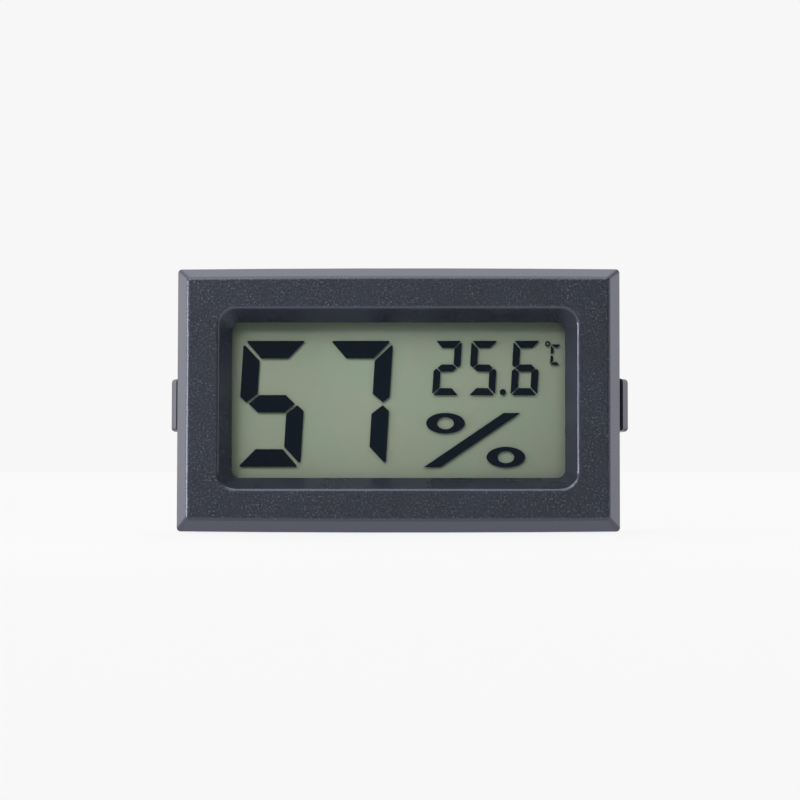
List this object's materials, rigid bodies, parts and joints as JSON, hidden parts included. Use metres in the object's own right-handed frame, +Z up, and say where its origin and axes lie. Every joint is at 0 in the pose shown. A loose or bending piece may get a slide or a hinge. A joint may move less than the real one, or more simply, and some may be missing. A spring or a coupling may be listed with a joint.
{
  "type": "digital panel hygrometer",
  "caption": "Small rectangular digital humidity and temperature display for a panel cut-out, with side snap clips and a sliding battery door at the rear.",
  "frame": {"origin": "middle of the panel seat, which is the plane behind the bezel", "axes": "+X to the right seen from the front, +Y into the panel towards the rear, +Z up"},
  "size_m": [0.05, 0.0152, 0.0288],
  "materials": {
    "housing_abs": "dark blue-grey moulded ABS, finely textured on the face",
    "cover_abs": "dark grey moulded ABS",
    "door_abs": "dark grey moulded ABS",
    "screw_steel": "zinc plated steel",
    "gasket_foam": "black closed-cell foam",
    "polariser_film": "grey-green polarising film",
    "display_glass": "clear float glass",
    "segment_ink": "dark liquid-crystal segments",
    "seal_epoxy": "epoxy glue line",
    "reflector_film": "grey-green reflective film",
    "carrier_abs": "natural white moulded ABS",
    "strip_elastomer": "layered silicone with carbon",
    "board_laminate": "green solder mask on glass laminate",
    "epoxy_dome": "black epoxy",
    "sensor_ceramic": "white alumina",
    "tinned_lead": "tinned wire",
    "bead_epoxy": "dark epoxy dip",
    "can_metal": "nickel plated can",
    "chip_body": "chip resistor",
    "capacitor_body": "chip capacitor",
    "cell_steel": "nickel plated steel",
    "cell_seal": "nylon sealing ring",
    "contact_metal": "nickel plated sheet"
  },
  "bodies": {
    "case": {"front_housing": "housing_abs", "rear_cover": "cover_abs", "case_screws": "screw_steel", "lcd_gasket": "gasket_foam", "lcd_front_polariser": "polariser_film", "lcd_front_glass": "display_glass", "lcd_segments": "segment_ink", "lcd_edge_seal": "seal_epoxy", "lcd_rear_glass": "display_glass", "lcd_reflector": "reflector_film", "lcd_carrier": "carrier_abs", "upper_contact_strip": "strip_elastomer", "lower_contact_strip": "strip_elastomer", "circuit_board": "board_laminate", "controller_blob": "epoxy_dome", "humidity_sensor": "sensor_ceramic", "humidity_sensor_leads": "tinned_lead", "thermistor": "bead_epoxy", "thermistor_leads": "tinned_lead", "timing_crystal": "can_metal", "chip_resistors": "chip_body", "chip_capacitors": "capacitor_body", "cell_cans": "cell_steel", "cell_caps": "cell_steel", "cell_gaskets": "cell_seal", "negative_contact": "contact_metal", "positive_contact": "contact_metal"},
    "left_clip": {"left_snap_clip": "housing_abs"},
    "right_clip": {"right_snap_clip": "housing_abs"},
    "door": {"battery_door": "door_abs", "bridge_contact": "contact_metal"}
  },
  "joints": [
    {"name": "left_clip_flex", "type": "hinge", "parent": "case", "child": "left_clip", "pos_m": [-0.0223, 0.0101, 0], "axis": [0, 0, 1], "range_deg": [0, 22.5], "stiffness_Nm_per_rad": 0.05},
    {"name": "right_clip_flex", "type": "hinge", "parent": "case", "child": "right_clip", "pos_m": [0.0223, 0.0101, 0], "axis": [0, 0, -1], "range_deg": [0, 22.5], "stiffness_Nm_per_rad": 0.05},
    {"name": "battery_door_slide", "type": "slide", "parent": "case", "child": "door", "axis": [0, 0, -1], "range_m": [0, 0.014]}
  ]
}
